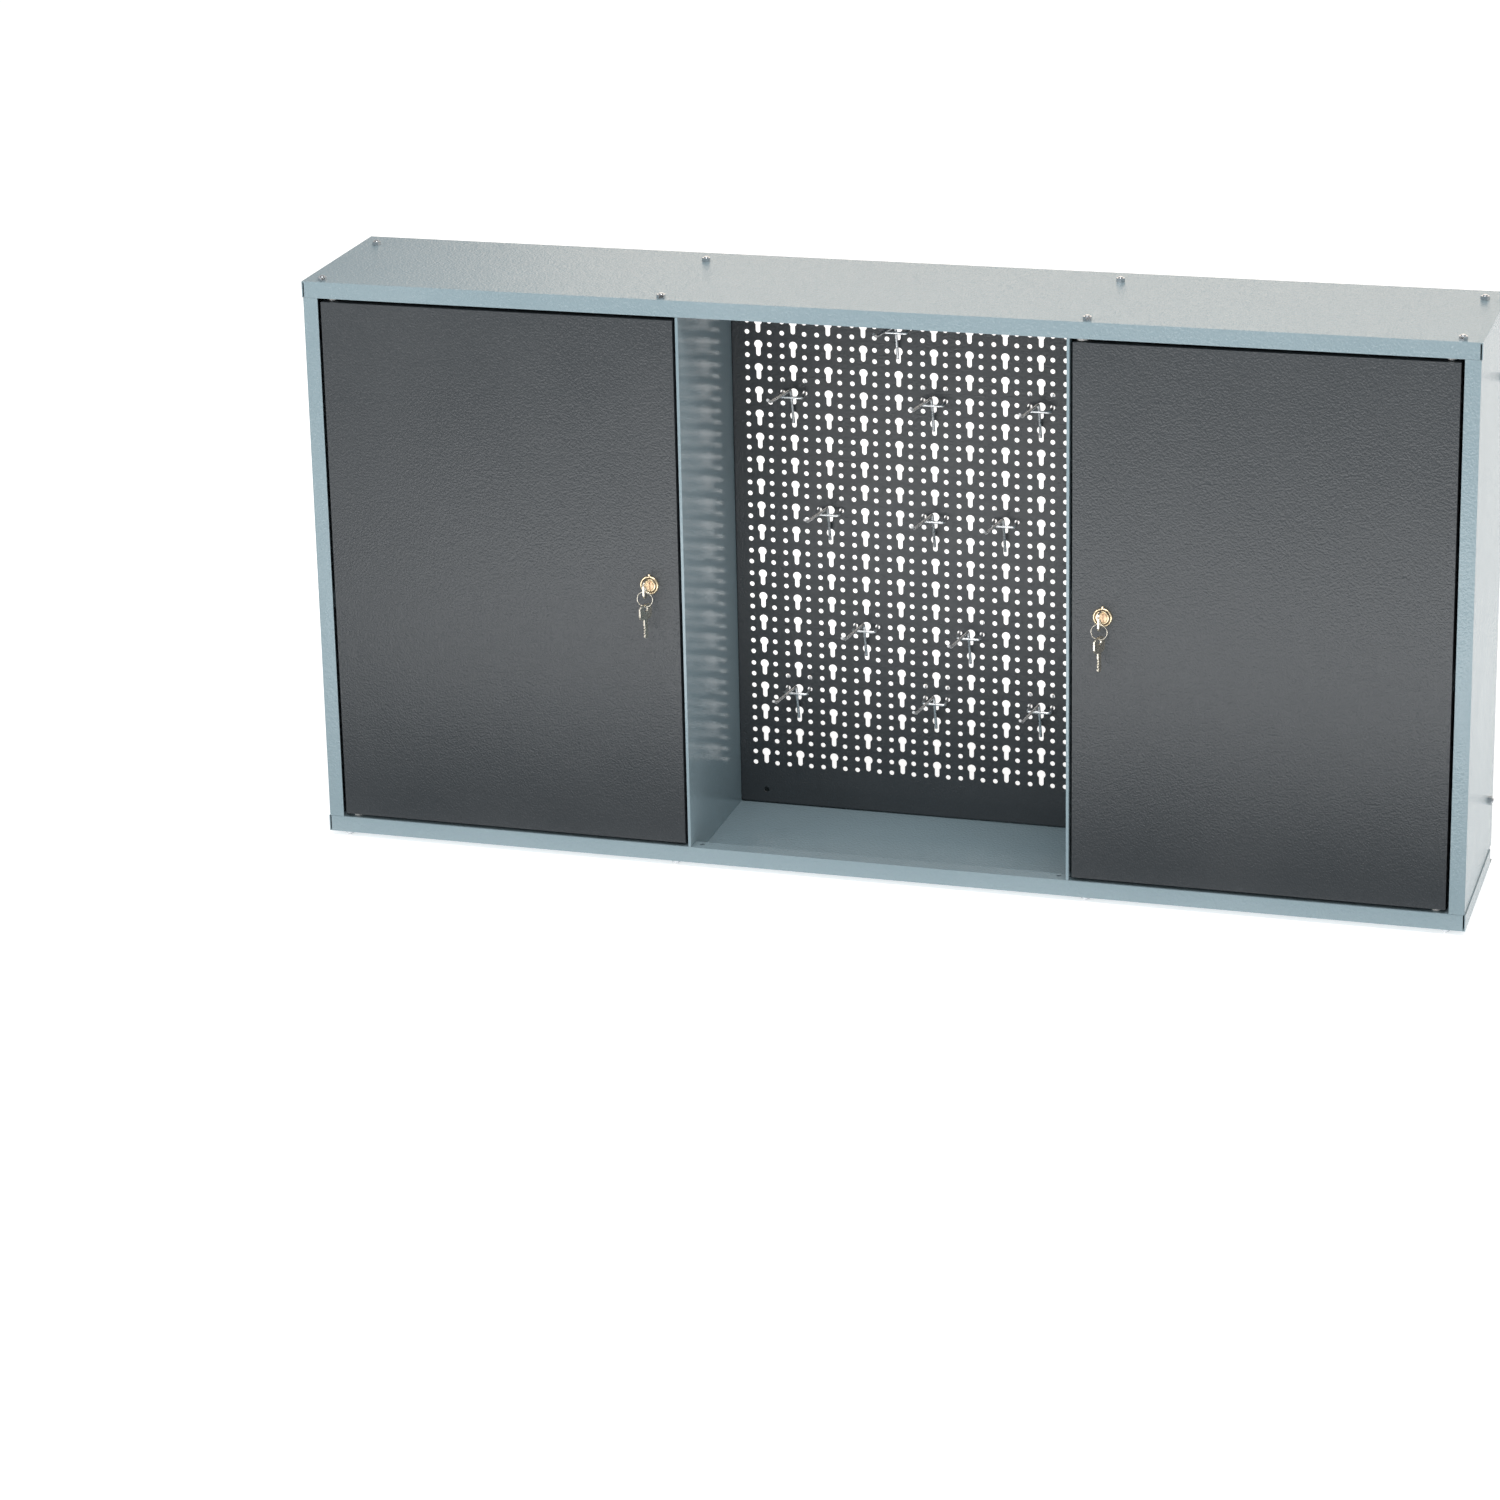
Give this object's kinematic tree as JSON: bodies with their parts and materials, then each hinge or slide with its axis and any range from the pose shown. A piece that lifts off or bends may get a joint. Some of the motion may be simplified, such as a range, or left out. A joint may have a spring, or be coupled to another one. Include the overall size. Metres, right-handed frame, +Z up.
{
  "type": "wall tool cabinet",
  "caption": "Wall-hung sheet steel tool cabinet with an open perforated middle bay, wire hooks and a locking door at each side.",
  "frame": {"origin": "centre of the four wall holes, on the plane of the rear rims", "axes": "+X to the right seen from the front, +Y into the wall, +Z up"},
  "size_m": [1.2084, 0.2261, 0.6104],
  "materials": {
    "frame_paint": "fine orange-peel paint, semi-gloss",
    "door_paint": "leather-textured paint, semi-gloss",
    "panel_paint": "leather-textured paint, semi-gloss",
    "zinc_steel": "bright zinc plating",
    "hook_wire": "bright zinc plating on wire",
    "nylon": "natural nylon",
    "lock_metal": "yellow zinc plating",
    "key_metal": "nickel plating"
  },
  "bodies": {
    "case": {"bottom_panel": "frame_paint", "case_bolts": "zinc_steel", "case_nuts": "zinc_steel", "hinge_hole_plug": "nylon", "left_back_panel": "frame_paint", "left_divider": "frame_paint", "left_lower_hinge_bush": "nylon", "left_shelf": "frame_paint", "left_shelf_supports": "frame_paint", "left_side_panel": "frame_paint", "left_strike_plate": "frame_paint", "left_upper_hinge_bush": "nylon", "peg_panel": "panel_paint", "right_back_panel": "frame_paint", "right_divider": "frame_paint", "right_lower_hinge_bush": "nylon", "right_shelf": "frame_paint", "right_shelf_supports": "frame_paint", "right_side_panel": "frame_paint", "right_strike_plate": "frame_paint", "right_upper_hinge_bush": "nylon", "tool_hook_01": "hook_wire", "tool_hook_02": "hook_wire", "tool_hook_03": "hook_wire", "tool_hook_04": "hook_wire", "tool_hook_05": "hook_wire", "tool_hook_06": "hook_wire", "tool_hook_07": "hook_wire", "tool_hook_08": "hook_wire", "tool_hook_09": "hook_wire", "tool_hook_10": "hook_wire", "tool_hook_11": "hook_wire", "tool_hook_12": "hook_wire", "top_panel": "frame_paint"},
    "left_door_leaf": {"left_door": "door_paint", "left_upper_hinge_pin": "zinc_steel", "left_lower_hinge_pin": "zinc_steel", "left_lock_housing": "lock_metal", "left_lock_nut": "zinc_steel"},
    "left_lock_core_set": {"left_lock_core": "lock_metal", "left_lock_cam": "zinc_steel", "left_cam_screw": "zinc_steel", "left_lock_key": "key_metal"},
    "left_ring": {"left_key_ring": "key_metal"},
    "left_hanging_key": {"left_spare_key": "key_metal"},
    "right_door_leaf": {"right_door": "door_paint", "right_upper_hinge_pin": "zinc_steel", "right_lower_hinge_pin": "zinc_steel", "right_lock_housing": "lock_metal", "right_lock_nut": "zinc_steel"},
    "right_lock_core_set": {"right_lock_core": "lock_metal", "right_lock_cam": "zinc_steel", "right_cam_screw": "zinc_steel", "right_lock_key": "key_metal"},
    "right_ring": {"right_key_ring": "key_metal"},
    "right_hanging_key": {"right_spare_key": "key_metal"}
  },
  "joints": [
    {"name": "left_door_hinge", "type": "hinge", "parent": "case", "child": "left_door_leaf", "pos_m": [-0.57, -0.1895, 0], "axis": [0, 0, -1], "range_deg": [0, 100]},
    {"name": "left_lock_turn", "type": "hinge", "parent": "left_door_leaf", "child": "left_lock_core_set", "pos_m": [-0.235, -0.2, 0], "axis": [0, 1, 0], "range_deg": [0, 90]},
    {"name": "left_ring_swing", "type": "hinge", "parent": "left_lock_core_set", "child": "left_ring", "pos_m": [-0.235, -0.2169, -0.002], "axis": [-1, 0, 0], "range_deg": [-8, 75]},
    {"name": "left_spare_key_slide", "type": "hinge", "parent": "left_ring", "child": "left_hanging_key", "pos_m": [-0.235, -0.2169, -0.0101], "axis": [0, 1, 0], "range_deg": [-90, 0]},
    {"name": "right_door_hinge", "type": "hinge", "parent": "case", "child": "right_door_leaf", "pos_m": [0.57, -0.1895, 0], "axis": [0, 0, 1], "range_deg": [0, 100]},
    {"name": "right_lock_turn", "type": "hinge", "parent": "right_door_leaf", "child": "right_lock_core_set", "pos_m": [0.235, -0.2, 0], "axis": [0, -1, 0], "range_deg": [0, 90]},
    {"name": "right_ring_swing", "type": "hinge", "parent": "right_lock_core_set", "child": "right_ring", "pos_m": [0.235, -0.2169, -0.002], "axis": [-1, 0, 0], "range_deg": [-8, 75]},
    {"name": "right_spare_key_slide", "type": "hinge", "parent": "right_ring", "child": "right_hanging_key", "pos_m": [0.235, -0.2169, -0.0101], "axis": [0, -1, 0], "range_deg": [-90, 0]}
  ],
  "couplings": [
    {"joint": "left_spare_key_slide", "follows": "left_lock_turn", "ratio": -1},
    {"joint": "right_spare_key_slide", "follows": "right_lock_turn", "ratio": -1}
  ]
}
